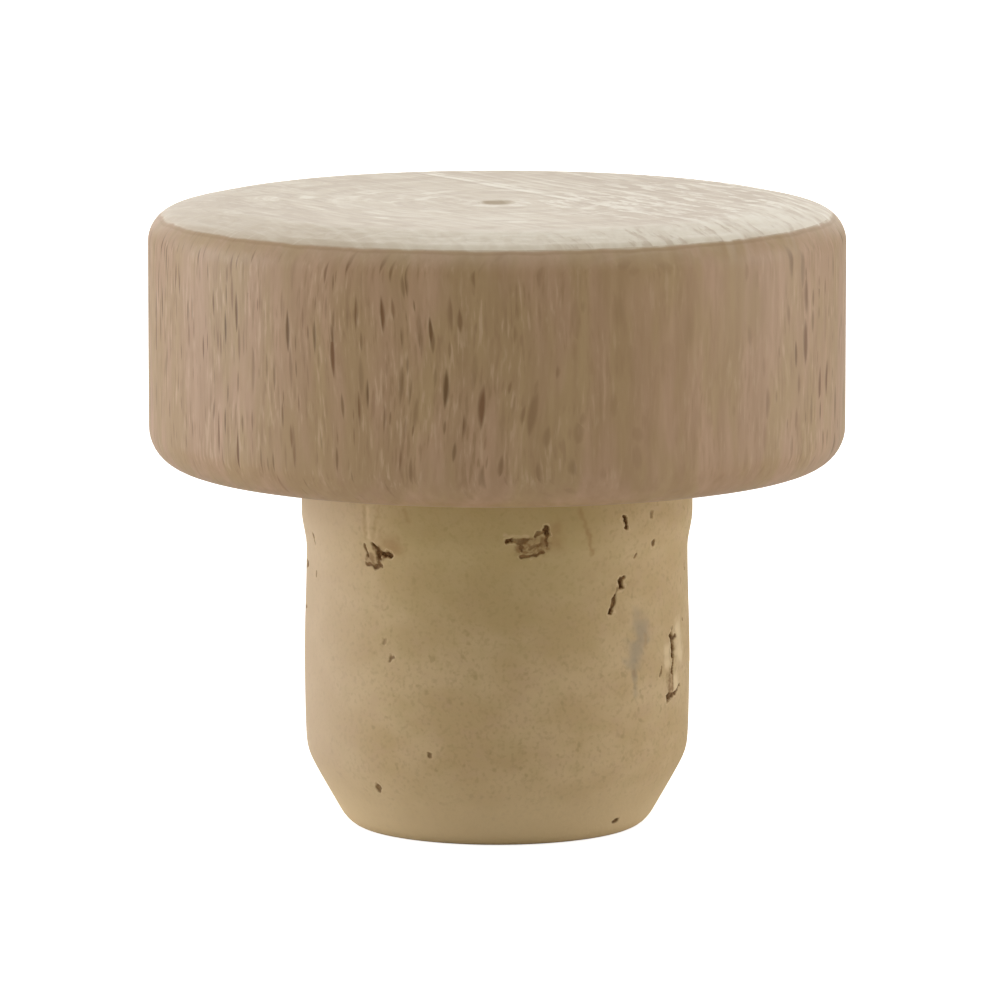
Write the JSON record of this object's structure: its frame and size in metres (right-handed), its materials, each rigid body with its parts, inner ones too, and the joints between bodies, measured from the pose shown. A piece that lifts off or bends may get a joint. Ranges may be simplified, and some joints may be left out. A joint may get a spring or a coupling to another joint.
{
  "type": "bottle stopper",
  "caption": "Round-edged turned wooden head with a natural cork shank glued into its underside, for plugging the neck of a bottle.",
  "frame": {"origin": "centre of the cork's flat end, which it stands on", "axes": "+Z along the axis of the stopper, from the cork's end up to the top of the wooden head; the stopper is round, so X and Y are free"},
  "size_m": [0.0344, 0.0344, 0.031],
  "materials": {
    "beech": "satin",
    "cork": "matte"
  },
  "bodies": {
    "root": {"wooden_head": "beech", "cork_shank": "cork"}
  },
  "joints": []
}
